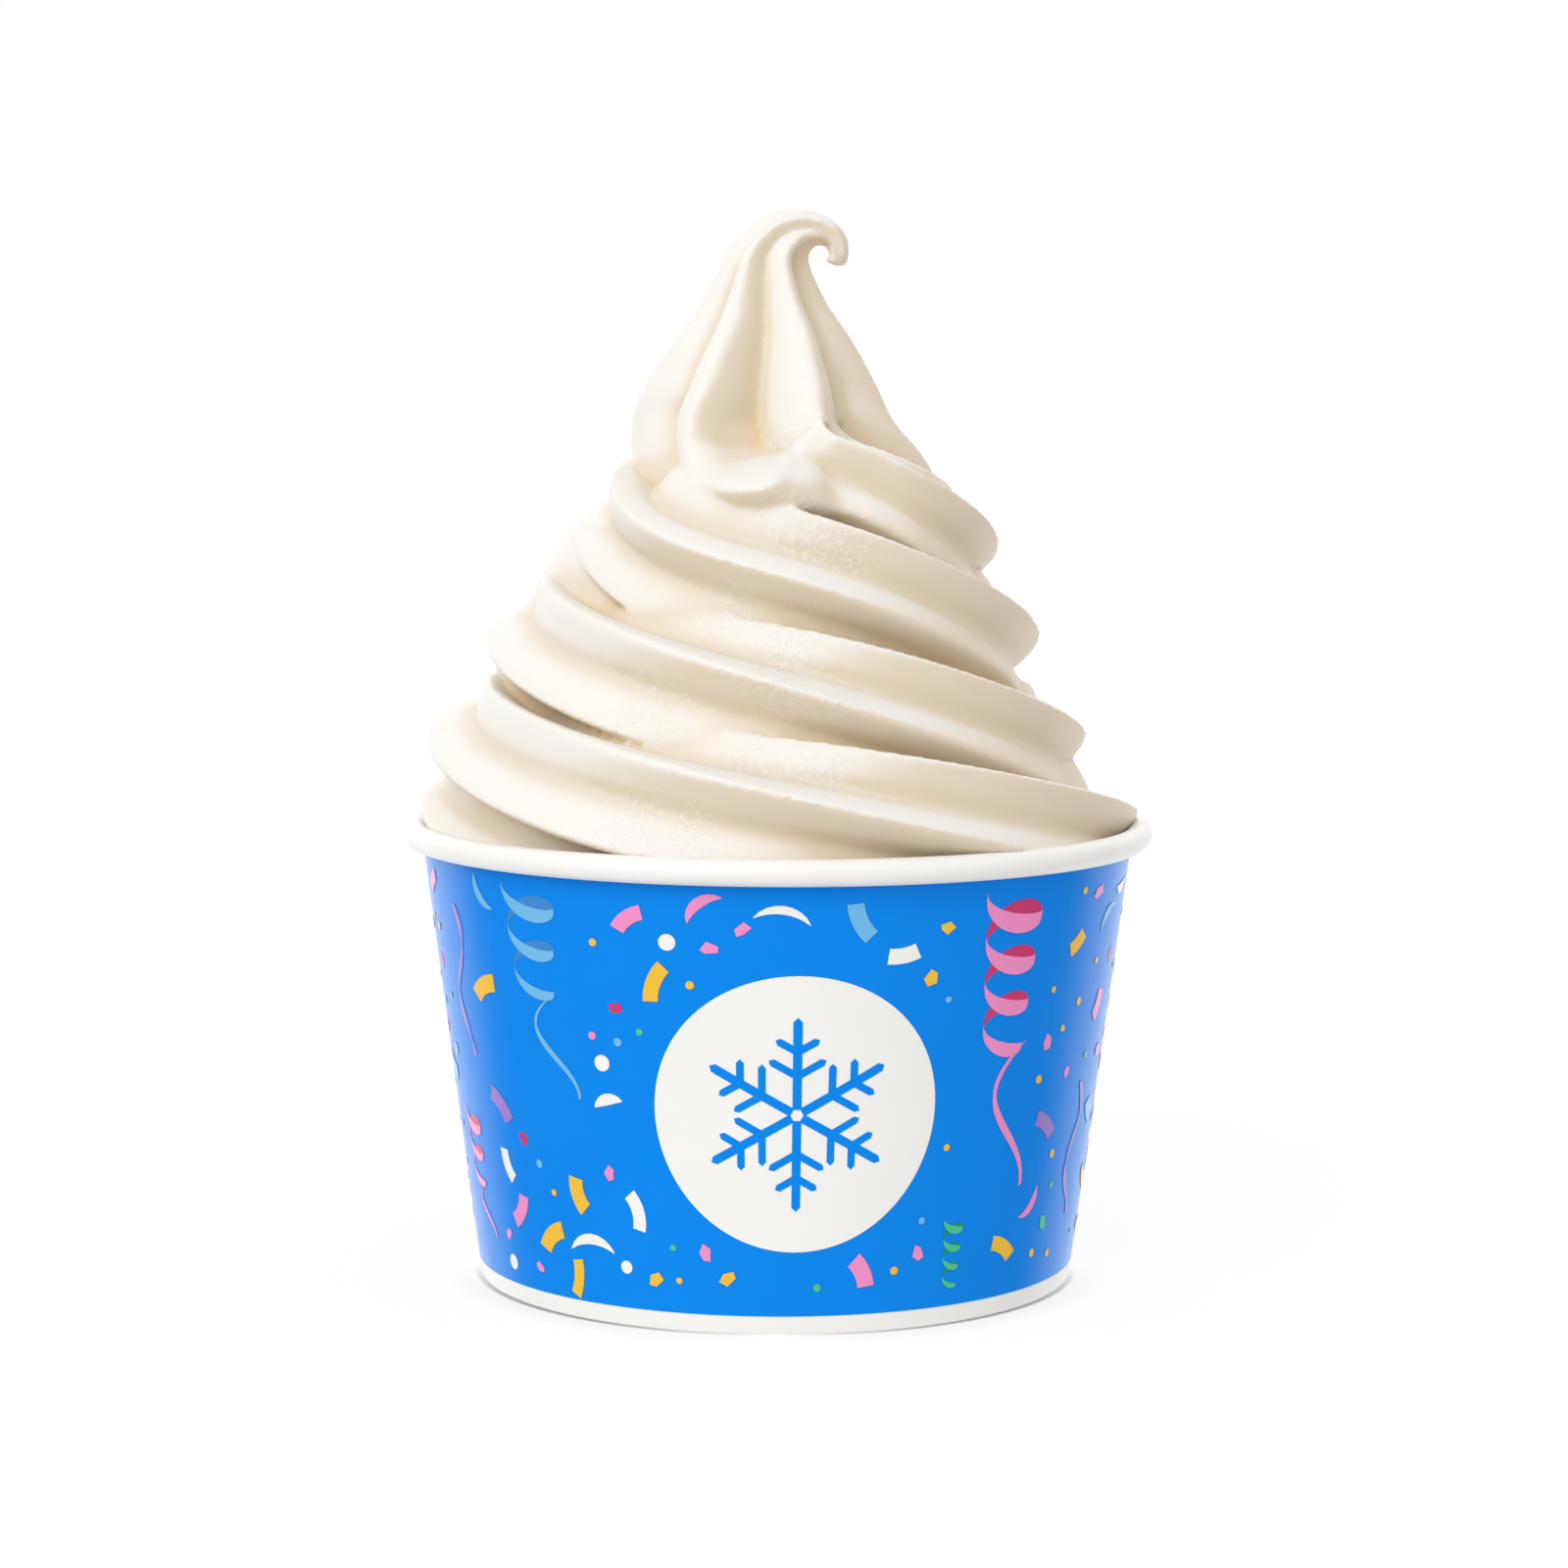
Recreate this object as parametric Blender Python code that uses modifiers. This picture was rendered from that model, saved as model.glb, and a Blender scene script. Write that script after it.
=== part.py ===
"""Frozen yogurt in a paper cup: a ridged rope of soft froyo wound into a tall swirl.

Metres, +Z up. The origin is the centre of the cup's foot, on the table, and the front is -Y.
Sizes below are in millimetres and are scaled by MM where they reach Blender.
"""
import math

import bmesh
import bpy
from mathutils import Vector

MM = 0.001
GAP = 0.3                 # clear space kept between touching pieces

# Paper cup
CUP_HEIGHT = 68.4
RIM_RADIUS = 56.0         # outside of the rolled rim
ROLL_RADIUS = 1.9         # section radius of the roll
ROLL_CENTRE = RIM_RADIUS - ROLL_RADIUS
ROLL_HEIGHT = CUP_HEIGHT - ROLL_RADIUS
ROLL_OUTER_JOIN = -129    # degrees round the roll where the wall's two faces meet it
ROLL_INNER_JOIN = -147
FOOT_RADIUS = 44.4
FOOT_EDGE = 0.25          # rounding of the paper's fold
TOP_RADIUS = 53.1         # outside of the wall at the height of the roll's centre
PAPER = 0.6
HEM_HEIGHT = 5.7          # the foot is folded in and up by this much
HEM_THICKNESS = 1.5
FLOOR_HEIGHT = 6.0        # underside of the raised bottom disc
TURN_STEPS = 72

# Froyo rope, winding down: degrees round from the front, then the radius and height of its
# outermost crest, and its section radius over the crests
RIDGES = 6
COIL = [(-65, 17.5, 121.5, 4.0), (-30, 23.5, 120.8, 6.4), (0, 26.8, 119.4, 8.2), (40, 30.6, 116.8, 10.2),
        (90, 32.6, 109.2, 11.6), (180, 30.2, 106.0, 12.2), (270, 29.6, 112.3, 12.6), (360, 36.8, 106.7, 12.2),
        (450, 39.0, 95.3, 11.8), (540, 41.3, 91.0, 12.4), (630, 43.0, 95.0, 13.2), (720, 44.9, 89.8, 12.6),
        (810, 46.4, 79.2, 11.8), (900, 49.0, 76.2, 12.4), (990, 52.0, 79.8, 12.9), (1080, 53.9, 74.6, 12.4),
        (1170, 54.6, 66.6, 11.8), (1260, 53.2, 65.0, 12.0), (1350, 53.8, 68.4, 12.4), (1440, 52.5, 62.0, 12.0),
        (1500, 49.0, 54.0, 12.0)]
VALLEY_DEPTH = 0.34       # share of the section radius
CREST_POWER = 1.6         # under 2 for ridges narrower than the valleys between them
CREST_LEAN = math.radians(10)      # the outermost crest sits this far above level
TWIST = 0.654             # turn of the ridges for each degree wound

# Peak: height, offset to the right, section radius, lean in degrees, from the tip down
PEAK = [(150.1, 8.35, 0.75, 181), (151.3, 8.55, 1.42, 177), (153.2, 8.6, 1.5, 160), (155.0, 7.55, 1.72, 120),
        (155.85, 5.6, 2.25, 88), (155.8, 2.5, 3.4, 52), (154.2, -0.1, 4.6, 23), (151.8, -1.8, 5.75, 3),
        (149.2, -2.2, 6.8, 0), (144.8, -2.3, 9.1, 0), (140.5, -2.3, 12.1, 0), (136.2, -2.5, 15.3, 0),
        (131.9, -2.5, 18.1, 0), (127.5, -2.0, 20.1, 0), (123.2, -0.9, 21.6, 0), (119.0, 1.2, 22.0, 0),
        (108.0, 2.5, 22.0, 0)]
PEAK_DEPTH = 0.38         # valley depth on the peak, whose ridges are as broad as its valleys
PEAK_POWER = 2.0
PEAK_TURN = math.radians(22)       # the middle crest stands this far right of the front
PEAK_BACK = -1.0

# Faceting, and what fills the swirl
RING_POINTS = 30
COIL_STEP = 12
PEAK_PARTS = 2            # rings for each row of PEAK
STRETCH = 20              # steps of rope in one length, under a whole turn
HEART = (44.0, 13.0, 62.0, 120.0)      # low and high radius, low and high height
FILL_TOP = 66.0


def smooth(rows, at):
    """Row of values read from a table at a place on its first column, which rises or falls."""
    keys = [row[0] for row in rows]
    way = 1 if keys[-1] > keys[0] else -1
    last = len(rows) - 2
    i = next((j for j in range(last + 1) if (keys[j + 1] - at) * way > 0), last)
    lower, upper = max(i - 1, 0), min(i + 2, last + 1)
    span = keys[i + 1] - keys[i]
    u = (at - keys[i]) / span
    values = []
    for before, here, after, beyond in zip(rows[lower], rows[i], rows[i + 1], rows[upper]):
        start = (after - before) / (keys[i + 1] - keys[lower]) * span
        end = (beyond - here) / (keys[upper] - keys[i]) * span
        values.append(here * (2 * u ** 3 - 3 * u ** 2 + 1) + start * (u ** 3 - 2 * u ** 2 + u)
                      + after * (3 * u ** 2 - 2 * u ** 3) + end * (u ** 3 - u ** 2))
    return values[1:]


def section_ring(centre, across, up, radius, phase, depth, power):
    """Points of one ridged section; phase is where a crest stands, from across towards up."""
    ring = []
    for i in range(RING_POINTS):
        angle = 2 * math.pi * i / RING_POINTS
        reach = radius * (1 - depth * abs(math.sin(RIDGES * angle / 2)) ** power)
        stand = angle + phase
        ring.append(centre + across * reach * math.cos(stand) + up * reach * math.sin(stand))
    return ring


def coil_sections():
    """Rings down the coil, each in the upright plane through the cup's axis."""
    rings = []
    first, last = COIL[0][0], COIL[-1][0]
    count = round((last - first) / COIL_STEP)
    for i in range(count + 1):
        phi = first + (last - first) * i / count
        crest_radius, crest_height, radius = smooth(COIL, phi)
        turn = math.radians(phi)
        across = Vector((math.sin(turn), -math.cos(turn), 0))
        upward = Vector((0, 0, 1))
        centre = (across * (crest_radius - radius * math.cos(CREST_LEAN))
                  + upward * (crest_height - radius * math.sin(CREST_LEAN)))
        phase = CREST_LEAN - math.radians((phi - 90) * TWIST)
        rings.append(section_ring(centre, across, upward, radius, phase, VALLEY_DEPTH, CREST_POWER))
    return rings


def peak_sections():
    """Rings from the curled tip down the cone of the peak."""
    rings = []
    rows = [(i,) + row for i, row in enumerate(PEAK)]
    for i in range((len(PEAK) - 1) * PEAK_PARTS + 1):
        height, right, radius, lean = smooth(rows, i / PEAK_PARTS)
        tilt = math.radians(lean)
        centre = Vector((right, PEAK_BACK, height))
        across = Vector((0, -1, 0))
        up = Vector((math.cos(tilt), 0, -math.sin(tilt)))
        rings.append(section_ring(centre, across, up, radius, PEAK_TURN, PEAK_DEPTH, PEAK_POWER))
    return rings


def loft(name, rings):
    """A closed solid through a row of rings, capped at both ends."""
    bm = bmesh.new()
    rows = [[bm.verts.new(point * MM) for point in ring] for ring in rings]
    for row, after in zip(rows, rows[1:]):
        for i in range(len(row)):
            j = (i + 1) % len(row)
            bm.faces.new((row[i], after[i], after[j], row[j]))
    bm.faces.new(rows[0])
    bm.faces.new(rows[-1][::-1])
    bmesh.ops.recalc_face_normals(bm, faces=bm.faces)
    mesh = bpy.data.meshes.new(name)
    bm.to_mesh(mesh)
    bm.free()
    return bpy.data.objects.new(name, mesh)


def arc(centre_x, centre_z, radius, start, stop, parts):
    """Points round an arc, from a start angle to a stop angle in degrees."""
    points = []
    for i in range(parts + 1):
        angle = math.radians(start + (stop - start) * i / parts)
        points.append((centre_x + radius * math.cos(angle), centre_z + radius * math.sin(angle)))
    return points


def wall_radius(height):
    """Outside of the paper wall at a height."""
    return FOOT_RADIUS + (TOP_RADIUS - FOOT_RADIUS) * height / ROLL_HEIGHT


def turned(name, outline, collection):
    """A closed outline turned about the cup's axis; it runs down its outer side first."""
    mesh = bpy.data.meshes.new(name)
    count = len(outline)
    edges = [(i, (i + 1) % count) for i in range(count)]
    mesh.from_pydata([(x * MM, 0, z * MM) for x, z in outline], edges, [])
    ring = bpy.data.objects.new(name, mesh)
    collection.objects.link(ring)
    screw = ring.modifiers.new("turn", "SCREW")
    screw.steps = TURN_STEPS
    screw.render_steps = TURN_STEPS
    screw.use_merge_vertices = True
    screw.merge_threshold = 0.00005
    return ring


def make_wall(collection):
    """Paper wall with its rolled rim, and the hem folded up inside the foot."""
    hem_top = wall_radius(HEM_HEIGHT)
    outline = arc(ROLL_CENTRE, ROLL_HEIGHT, ROLL_RADIUS, 90, ROLL_OUTER_JOIN, 11)
    outline += arc(FOOT_RADIUS - FOOT_EDGE, FOOT_EDGE, FOOT_EDGE, 0, -90, 2)
    outline += [(FOOT_RADIUS - HEM_THICKNESS, 0), (hem_top - HEM_THICKNESS, HEM_HEIGHT),
                (hem_top - PAPER, HEM_HEIGHT)]
    outline += arc(ROLL_CENTRE, ROLL_HEIGHT, ROLL_RADIUS, ROLL_INNER_JOIN, -270, 5)[:-1]
    return turned("cup_wall", outline, collection)


def make_clearance(collection):
    """Cutter that keeps the froyo a gap away from the wall and the rolled rim."""
    over_roll = ROLL_RADIUS + GAP
    below = -5.0
    outline = [(RIM_RADIUS + 15, ROLL_HEIGHT + over_roll), (RIM_RADIUS + 15, below),
               (wall_radius(below) - PAPER - GAP, below)]
    outline += arc(ROLL_CENTRE, ROLL_HEIGHT, over_roll, ROLL_INNER_JOIN, -270, 8)
    cutter = turned("clearance", outline, collection)
    cutter.hide_render = True
    cutter.display_type = "WIRE"
    return cutter


def cone(name, low_radius, high_radius, low, high, collection):
    """An upright cone with flat ends between two heights."""
    bpy.ops.mesh.primitive_cone_add(vertices=TURN_STEPS, radius1=low_radius * MM, radius2=high_radius * MM,
                                    depth=(high - low) * MM, location=(0, 0, (low + high) / 2 * MM))
    made = bpy.context.object
    made.name = name
    for owner in list(made.users_collection):
        owner.objects.unlink(made)
    collection.objects.link(made)
    return made


def make_floor(collection):
    """Raised bottom disc, just over the hem."""
    top = FLOOR_HEIGHT + PAPER
    return cone("cup_base", wall_radius(FLOOR_HEIGHT) - PAPER - GAP, wall_radius(top) - PAPER - GAP,
                FLOOR_HEIGHT, top, collection)


def applied(made):
    """Replaces an object's mesh with its evaluated one and drops its modifiers."""
    graph = bpy.context.evaluated_depsgraph_get()
    mesh = bpy.data.meshes.new_from_object(made.evaluated_get(graph))
    made.modifiers.clear()
    made.data = mesh
    return made


def keep_outer_shell(mesh):
    """Drops loose scraps and the walls of sealed pockets, which leaves the one largest shell."""
    bm = bmesh.new()
    bm.from_mesh(mesh)
    bmesh.ops.remove_doubles(bm, verts=bm.verts, dist=0.00001)
    bmesh.ops.triangulate(bm, faces=bm.faces)
    left = set(bm.faces)
    shells = []
    while left:
        shell, reach = [], [left.pop()]
        while reach:
            face = reach.pop()
            shell.append(face)
            near = {other for edge in face.edges for other in edge.link_faces} & left
            left -= near
            reach.extend(near)
        shells.append(shell)
    shells.sort(key=len, reverse=True)
    scraps = [face for shell in shells[1:] for face in shell]
    bmesh.ops.delete(bm, geom=scraps, context="FACES")
    bm.to_mesh(mesh)
    bm.free()


def make_froyo(collection, cutters):
    """The swirl: peak, wound rope, heart and the fill in the cup, fused into one solid."""
    lumps = bpy.data.collections.new("froyo_lumps")
    bpy.context.scene.collection.children.link(lumps)
    rings = coil_sections()
    for start in range(0, len(rings) - 1, STRETCH):
        lumps.objects.link(loft(f"rope_{start}", rings[start:start + STRETCH + 2]))
    lumps.objects.link(loft("peak", peak_sections()))
    cone("heart", *HEART, lumps)
    fill_low = FLOOR_HEIGHT + PAPER + GAP
    froyo = cone("froyo", wall_radius(fill_low) - PAPER - GAP, wall_radius(FILL_TOP) - PAPER - GAP,
                 fill_low, FILL_TOP, collection)
    join = froyo.modifiers.new("join", "BOOLEAN")
    join.operation = "UNION"
    join.operand_type = "COLLECTION"
    join.collection = lumps
    join.solver = "MANIFOLD"
    trim = froyo.modifiers.new("trim", "BOOLEAN")
    trim.operation = "DIFFERENCE"
    trim.object = make_clearance(cutters)
    trim.solver = "MANIFOLD"
    applied(froyo)
    keep_outer_shell(froyo.data)
    for lump in list(lumps.objects):
        bpy.data.objects.remove(lump)
    bpy.data.collections.remove(lumps)
    return froyo


def paint(made, name, colour, roughness):
    """Gives a part its own material and smooth shading with crisp corners."""
    material = bpy.data.materials.new(name)
    material.use_nodes = True
    shader = material.node_tree.nodes["Principled BSDF"]
    shader.inputs["Base Color"].default_value = (*colour, 1)
    shader.inputs["Roughness"].default_value = roughness
    shader.inputs["Metallic"].default_value = 0
    made.data.materials.clear()
    made.data.materials.append(material)
    made.data.shade_smooth()
    made.data.set_sharp_from_angle(angle=math.radians(40))


def main():
    """Builds the cup and its froyo."""
    for old in list(bpy.data.objects):
        bpy.data.objects.remove(old)
    parts = bpy.data.collections.new("frozen_yogurt_cup")
    cutters = bpy.data.collections.new("cutters")
    for made in (parts, cutters):
        bpy.context.scene.collection.children.link(made)
    paint(make_wall(parts), "printed_paper", (0.01, 0.22, 0.78), 0.35)
    paint(make_floor(parts), "plain_paper", (0.9, 0.9, 0.88), 0.5)
    paint(make_froyo(parts, cutters), "froyo", (0.91, 0.86, 0.76), 0.5)


if __name__ == "__main__":
    main()
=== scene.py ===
"""Looks of the frozen yogurt cup: soft-serve swirl, paper cup and its printed confetti.

Blender works in metres. Sizes here are in millimetres and are scaled by MM where they reach a mesh.
The front is -Y, and an angle round the cup runs from the front towards +X.
"""
from collections import defaultdict
import math
import random

import bmesh
import bpy
import numpy as np
from mathutils import Matrix, Vector


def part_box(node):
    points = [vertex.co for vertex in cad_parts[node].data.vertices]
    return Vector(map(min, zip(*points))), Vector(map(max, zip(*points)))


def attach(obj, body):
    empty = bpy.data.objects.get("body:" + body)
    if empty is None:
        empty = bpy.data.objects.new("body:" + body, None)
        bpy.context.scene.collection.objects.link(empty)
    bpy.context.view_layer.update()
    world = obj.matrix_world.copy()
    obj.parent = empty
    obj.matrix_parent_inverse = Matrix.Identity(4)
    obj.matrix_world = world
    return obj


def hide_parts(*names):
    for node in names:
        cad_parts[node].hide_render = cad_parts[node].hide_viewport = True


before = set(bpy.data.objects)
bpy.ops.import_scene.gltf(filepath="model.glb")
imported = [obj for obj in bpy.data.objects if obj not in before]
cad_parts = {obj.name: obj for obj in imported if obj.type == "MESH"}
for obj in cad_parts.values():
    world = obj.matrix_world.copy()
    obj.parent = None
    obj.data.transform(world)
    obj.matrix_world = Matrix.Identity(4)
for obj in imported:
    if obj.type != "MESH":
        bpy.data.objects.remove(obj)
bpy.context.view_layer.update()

MM = 0.001
TINY = 1e-6  # keeps a length from being divided by nothing
BODY = "root"

# Paper cup, from the frame where it says
WALL_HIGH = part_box("cup_wall")[1]
BASE_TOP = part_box("cup_base")[1][2] / MM
CUP_HEIGHT = round(WALL_HIGH[2] / MM, 1)
RIM_RADIUS = round(WALL_HIGH[0] / MM, 1)
ROLL_RADIUS = 1.9  # section radius of the rolled rim
ROLL_CENTRE = RIM_RADIUS - ROLL_RADIUS
ROLL_HEIGHT = CUP_HEIGHT - ROLL_RADIUS
FOOT_RADIUS = 44.4
TOP_RADIUS = 53.1  # outside of the wall at the height of the roll's centre
ROLL_OUTSIDE = (100, -118)  # degrees round the roll's section from its top to the wall
ROLL_INSIDE = (205, 112)
NECK = 2.5  # the straight wall ends this far below the roll's centre
PAPER = 0.6
HEM_HEIGHT = 5.7
HEM_THICKNESS = 1.5
FOOT_ROUND = 0.25
FOOT_FLANK = 0.6  # height where the straight wall starts above the rounded foot
TURN_STEPS = 240
SHARP_EDGE = math.radians(35)
FILL_GAP, FILL_TOUCH = 0.05, 0.03  # the fill stops over the bottom disc, and is sunk in the wall
SWIRL_TOUCH = 0.05  # how far the swirl is sunk in the wall and the roll

# Side seam at the back, where the paper laps over itself
SEAM_ANGLE = math.radians(178)
SEAM_WIDTH = math.radians(9)
SEAM_STEP = math.radians(0.3)
SEAM_LIFT = 0.3

# Print, with its disc in front
BAND_HEIGHT = 2.66  # white band left bare at the foot
PRINT_TOP = 64.7
INK = 0.05  # thickness of each printed layer
STRIP = 1.5  # widest flat strip of a printed shape
MID_RADIUS = (FOOT_RADIUS + TOP_RADIUS) / 2
DISC_ANGLE = math.radians(3.5)
DISC_HEIGHT = 32.0
DISC_RADIUS = 20.2
DISC_SQUASH = 0.985  # height of the disc as a share of its width
SEED = 16

# Flake on the disc, as shares of its own radius
FLAKE_SHARE = 0.66  # of the disc's radius
FLAKE_ARMS = 6
FLAKE_HOLE = 0.06
ARM_WIDTH, TWIG_WIDTH = 0.095, 0.08
TWIGS = [(0.42, 0.3), (0.68, 0.22)]  # place along the arm, length

# Swirl: a ridged rope, wound down round the cup's axis from a curled tip
RIDGES = 6
VALLEY_DEPTH = 0.36  # share of the section radius
CREST_POWER = 0.75  # under 1 for flat flanks
EDGE = 0.975  # under 1 to round the bottoms of the valleys
CREST_LEAN = math.radians(10)  # the outermost crest of the coil sits this far above level
LEAN_PLACE = 90  # where it has that lean, in degrees wound
TWIST = 0.654  # turn of the ridges for each degree wound
COIL_START, COIL_STOP = 20.0, 1500.0  # degrees wound
START_CREST = 46.0  # angle of the leading crest where the coil starts
FREE_TURN = 45.0  # from here on the crests turn at an even rate
# Degrees wound, radius and height of the outermost crest, section radius
COIL = [(0, 25.6, 120.6, 10.8), (20, 26.8, 119.6, 11.0), (45, 31.9, 114.6, 11.5), (90, 32.6, 109.2, 11.6),
        (180, 30.2, 106.0, 12.2), (270, 29.6, 112.3, 12.6), (360, 36.8, 106.7, 12.2),
        (450, 39.0, 95.3, 11.8), (540, 41.3, 91.0, 12.4), (630, 43.0, 95.0, 13.2),
        (720, 44.9, 89.8, 12.6), (810, 46.4, 79.2, 11.8), (900, 49.0, 76.2, 12.4),
        (990, 52.0, 79.8, 12.9), (1080, 53.9, 74.6, 12.4), (1170, 54.6, 66.6, 11.8),
        (1260, 53.2, 65.0, 12.0), (1350, 53.8, 68.4, 12.4), (1440, 52.5, 62.0, 12.0),
        (1500, 49.0, 54.0, 12.0)]
# Peak from the tip down: height, right, section radius, lean in degrees
PEAK = [(150.6, 7.75, 0.85, 200), (150.9, 8.35, 1.5, 185), (152.8, 8.75, 1.62, 160),
        (154.85, 7.75, 1.8, 122), (155.85, 5.6, 2.3, 88), (155.8, 2.5, 3.4, 52),
        (154.2, -0.1, 4.6, 23), (151.8, -1.8, 5.75, 3), (149.2, -2.2, 6.8, 0),
        (144.8, -2.3, 9.1, 0), (140.5, -2.3, 12.1, 0), (136.2, -2.5, 15.0, 0), (131.9, -2.5, 17.5, 0)]
PEAK_BACK = -1.0
PEAK_DEPTH = 0.38
PEAK_POWER = 1.2
PEAK_CREST = [(127.8, 25.0), (132, 28.5), (140, 31.0), (156, 30.0)]  # height, angle of the leading crest
# Foot of the peak, sunk in the coil: height, right, back, section radius
PEAK_FOOT = [(127.8, -1.8, -1.0, 18.4), (124, 1.8, -0.6, 18.1), (120, 4.8, 0.4, 17.8),
             (116, 5.6, 1.4, 17.5), (106, 6.0, 2.0, 17.5)]
PEAK_HIDE = (0.0, 0.15, 0.4)  # the upright part ends inside the bend: taken off its last radii
# Bend from the peak to the coil: lie in degrees, right, back, height, section radius, crest angle, depth;
# then, for the ridge before the leading one, its swell and its turn in degrees, and the sink of the valley
# between the two
BEND = [(0, -2.2, -1.0, 127.8, 19.3, 25, 0.38, 0.0, 0, 0.14),
        (12, -2.6, -2.0, 125.4, 19.4, 24, 0.36, 0.0, 0, 0.18),
        (20, -3.2, -3.2, 123.8, 19.2, 25, 0.34, 0.08, 3, 0.14),
        (28, -3.9, -4.4, 122.5, 18.8, 27, 0.32, 0.26, 14, 0.0),
        (45, -4.2, -7.6, 120.6, 17.4, 33, 0.25, 0.36, 19, 0.0),
        (60, -2.2, -10.6, 119.4, 15.2, 39, 0.24, 0.30, 13, 0.0),
        (75, 1.6, -13.2, 118.5, 12.9, 44, 0.30, 0.25, 6, 0.0)]
BEND_LIE = 90  # lie of the coil, where the bend ends
COIL_SWELL, SWELL_SPAN = 0.16, 40.0  # swell left where the coil starts, and degrees until it is gone
SWELL_PLACE, SWELL_WIDTH = math.radians(-42), math.radians(22)  # from the leading crest
GROOVE_PLACE, GROOVE_WIDTH = math.radians(-34), math.radians(15)
PEAK_GROOVE = [(127.8, 0.14), (134, 0.10), (146, 0.0)]  # height, sink of the same valley
# Ridges nudged on each turn: degrees wound, the ridge's angle from the leading crest, its drop in degrees
# and its swell as a share of the section radius
NUDGES = [(330, 120, 3, 0.06), (690, 0, 4, 0.06), (1050, 240, 4, 0.06),
          (690, 120, 0, -0.10), (1050, 0, 0, -0.10)]
NUDGE_SPAN = 42.0  # degrees wound over which a nudge fades out
NUDGE_WIDTH = math.radians(30)
SLACK_TURN = (325.0, 38.0, 12.0)  # degrees wound, span, and how far the ridges lag behind their twist
CREASE_CUT = 1.8  # creases deeper than the least are cut this many times deeper
CREASE_LEAST = 0.28
CREST_BLUNT = 0.16  # over 0 to round the crests
WORN = 0.4  # rounding takes this much off a crest, and it is added beforehand,
WORN_SHARE = 0.1  # up to this share of the section radius
PEAK_STEP = 14.0  # degrees of station for each row of the peak
BEND_OVERLAP = 3 * PEAK_STEP  # the bend starts this far up the peak
PIVOT = Vector((9.0, 0, 127.8))  # the bend folds about this line
PIVOT_ROOM = 1.0  # least room left to a folded section above its centre
PIVOT_SPAN, PIVOT_SLACK = 30, 0.2  # past the fold, the room grows by this slack for each degree
RING_POINTS = 120
RING_ANGLES = 2 * np.pi * np.arange(RING_POINTS) / RING_POINTS
ROW_STEP, COIL_STEP = 10.0, 4.0  # degrees wound between the coil's rows, and between its rings
BEND_RINGS = 44
PEAK_PARTS = 5  # rings for each row of the peak
VOXEL = 0.5  # grain of the fused surface
SOFTEN_ROUNDS = 6
CUT_ROUNDS = 20  # rounds of averaging that show the creases to be cut

# Painted shade on the froyo: beige on flanks that face away from the lit side, and in broad hollows
PAINTED_LIGHT_SIDE = (-0.6, -0.1, 0.79)  # faces turned up and to the left are painted palest, as if lit
FLANK_SHADE_SHARE, FLANK_FROM, FLANK_TO = 0.9, 0.28, 0.50
HOLLOW_SHADE_SHARE, HOLLOW_FROM, HOLLOW_TO = 0.7, 0.45, 0.73
HOLLOW_ROUNDS, HOLLOW_REACH = 200, 1.6  # rounds of averaging, and full depth
# Painted shade, golden, along the creases and in the deepest hollows: share times gain, less a loss
CREASE_ROUNDS, CREASE_REACH = 16, 0.5
CREASE_GAIN, CREASE_LOSS = 3.6, 2.75
DEEP_GAIN, DEEP_LOSS = 5, 4.1

# Heart that the turns lie on: height, right, back, radius
HEART = [(62, -3.0, 3.0, 47.0), (73.4, -4.1, 4.0, 46.5), (86, -4.2, 4.0, 40.3), (98, -3.2, 4.0, 35.6),
         (103, -2.6, 4.0, 33.7), (108, -2.5, 3.5, 31.2), (113, -2.5, 3.0, 27.5), (118, -2.0, 3.0, 20.5),
         (121.5, -1.2, 2.6, 15.0), (124.5, -0.5, 2.0, 8.0)]
HEART_BACK, HEART_FRONT = 0.8, 0.85  # depth of the heart behind and in front, as shares of its radius
SWIRL_LOW, FILL_HIGH = 56.5, 61.0  # the swirl reaches down into the cup, past the top of the fill
PLUG_HIGH = 65.0  # top of the swirl's part inside the wall


def smooth(rows, at):
    """Row of values read from a table at a place on its first column."""
    keys = [row[0] for row in rows]
    last = len(rows) - 2
    i = next((j for j in range(last + 1) if keys[j + 1] > at), last)
    lower, upper = max(i - 1, 0), min(i + 2, last + 1)
    span = keys[i + 1] - keys[i]
    u = (at - keys[i]) / span
    values = []
    for before, here, after, beyond in zip(rows[lower], rows[i], rows[i + 1], rows[upper]):
        start = (after - before) / (keys[i + 1] - keys[lower]) * span
        end = (beyond - here) / (keys[upper] - keys[i]) * span
        values.append(here * (2 * u ** 3 - 3 * u ** 2 + 1) + start * (u ** 3 - 2 * u ** 2 + u)
                      + after * (3 * u ** 2 - 2 * u ** 3) + end * (u ** 3 - u ** 2))
    return values[1:]


def crest_angle(wound):
    """Angle of the leading crest from level, in degrees, at a place on the coil."""
    slack_place, slack_span, slack = SLACK_TURN
    even = math.degrees(CREST_LEAN) - (wound - LEAN_PLACE) * TWIST
    even -= slack * math.exp(-((wound - slack_place) / slack_span) ** 2)
    if wound >= FREE_TURN:
        return even
    joined = math.degrees(CREST_LEAN) - (FREE_TURN - LEAN_PLACE) * TWIST
    span = FREE_TURN - COIL_START
    u = (wound - COIL_START) / span
    risen = (joined - START_CREST) * (3 * u ** 2 - 2 * u ** 3)
    return START_CREST + risen - TWIST * span * (u ** 3 - u ** 2)


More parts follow.
